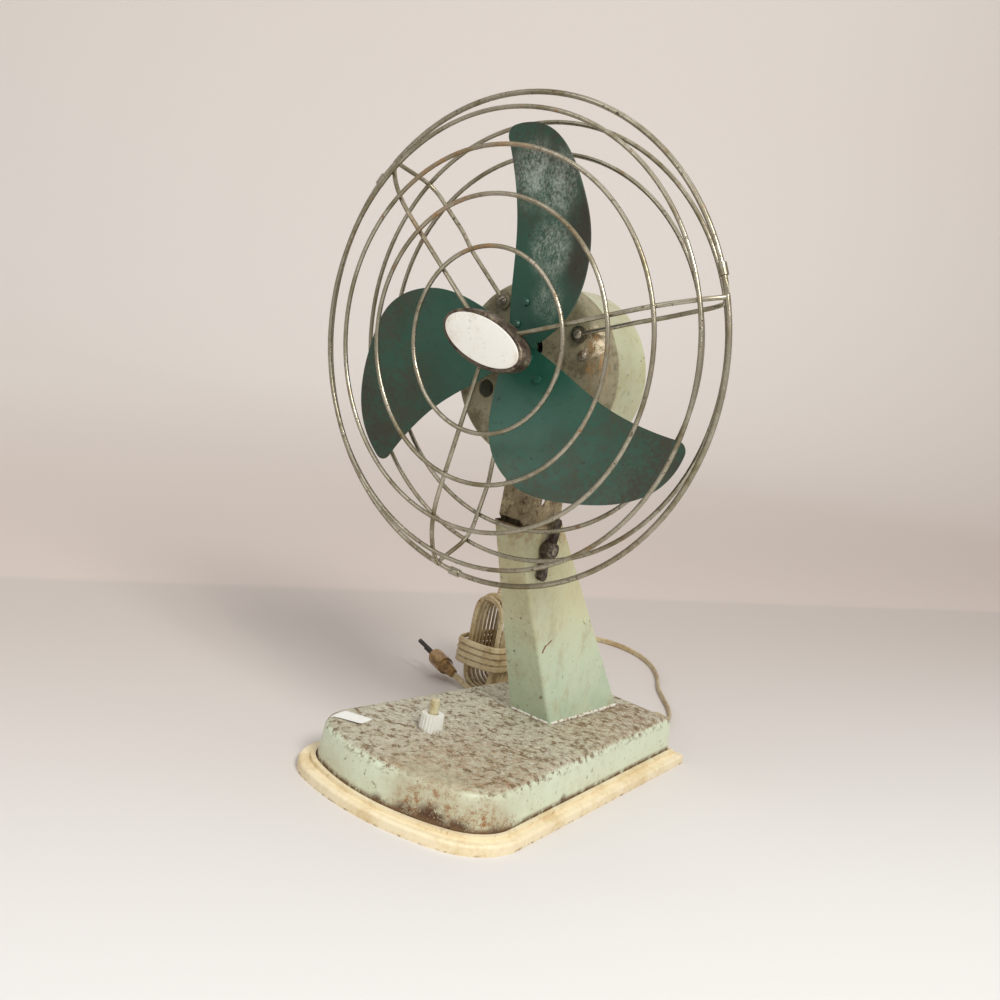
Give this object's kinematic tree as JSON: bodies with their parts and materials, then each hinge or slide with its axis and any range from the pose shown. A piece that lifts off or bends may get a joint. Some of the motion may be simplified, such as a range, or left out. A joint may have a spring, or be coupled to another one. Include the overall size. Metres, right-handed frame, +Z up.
{
  "type": "electric desk fan",
  "caption": "Electric desk fan on a pressed steel base, with a leaning folded neck, tilting motor head, pressed blades in a wire guard, push switch and coiled mains cord.",
  "frame": {"origin": "middle of the base in plan, on the surface that the fan stands on", "axes": "+Z up, -Y the way the fan blows, +X to the right seen from the front"},
  "size_m": [0.3709, 0.5616, 0.5059],
  "materials": {
    "cream_enamel": "satin",
    "green_enamel": "satin",
    "tan_enamel": "satin",
    "olive_enamel": "matte",
    "teal_enamel": "satin",
    "dark_enamel": "satin",
    "white_enamel": "gloss",
    "plain_steel": "satin",
    "worn_nickel": "satin",
    "core_steel": "matte",
    "cast_alloy": "matte",
    "dark_casting": "matte",
    "copper_wire": "satin",
    "bush_bronze": "satin",
    "white_plastic": "gloss",
    "cream_plastic": "gloss",
    "brown_phenolic": "gloss",
    "amber_plastic": "gloss",
    "beige_cord": "satin",
    "brown_lead": "satin",
    "black_rubber": "matte"
  },
  "bodies": {
    "stand": {"base_tray": "cream_enamel", "base_shell": "green_enamel", "base_posts": "plain_steel", "base_screws": "plain_steel", "switch_body": "brown_phenolic", "switch_ring_nut": "white_plastic", "switch_spring": "plain_steel", "switch_terminals": "bush_bronze", "terminal_block": "brown_phenolic", "cord_gland": "black_rubber", "inner_cord": "beige_cord", "neck": "green_enamel", "neck_foot": "plain_steel", "neck_screws": "plain_steel", "neck_rivets": "plain_steel", "tilt_bolt": "plain_steel", "tilt_washers": "plain_steel", "neck_lead": "brown_lead", "mains_cord": "beige_cord", "cord_hank": "beige_cord", "cord_tie": "beige_cord", "plug_body": "amber_plastic", "plug_pins": "dark_enamel"},
    "head": {"head_bracket": "tan_enamel", "saddle_screws": "plain_steel", "motor_front_cover": "olive_enamel", "cover_screws": "plain_steel", "motor_bell": "green_enamel", "stator_core": "core_steel", "stator_coil": "copper_wire", "shading_rings": "copper_wire", "front_bearing_bridge": "cast_alloy", "rear_bearing_bridge": "cast_alloy", "front_bush": "bush_bronze", "rear_bush": "bush_bronze", "frame_screws": "plain_steel", "motor_lead": "brown_lead", "front_guard": "worn_nickel", "back_guard": "worn_nickel", "guard_screws": "plain_steel", "guard_clips": "worn_nickel", "badge_cup": "dark_enamel", "badge_face": "white_enamel"},
    "fan": {"motor_shaft": "plain_steel", "rotor": "core_steel", "shaft_collars": "plain_steel", "fan_hub": "teal_enamel", "blade_1": "teal_enamel", "blade_2": "teal_enamel", "blade_3": "teal_enamel", "blade_rivets": "plain_steel", "hub_nut": "plain_steel"},
    "plunger": {"switch_plunger": "cream_plastic"},
    "wing": {"wing_nut": "dark_casting"}
  },
  "joints": [
    {"name": "head_tilt", "type": "hinge", "parent": "stand", "child": "head", "pos_m": [0, -0.034, 0.187], "axis": [-1, 0, 0], "range_deg": [-5, 25]},
    {"name": "fan_spin", "type": "hinge", "parent": "head", "child": "fan", "pos_m": [0, -0.108, 0.334], "axis": [0, -1, 0], "continuous": true},
    {"name": "switch_press", "type": "slide", "parent": "stand", "child": "plunger", "axis": [0, 0, -1], "range_m": [0, 0.002], "stiffness_N_per_m": 300, "springref_m": -0.004, "deforming": ["switch_spring"]},
    {"name": "wing_nut_turn", "type": "hinge", "parent": "stand", "child": "wing", "pos_m": [0.02, -0.034, 0.187], "axis": [1, 0, 0], "range_deg": [-90, 90]}
  ]
}
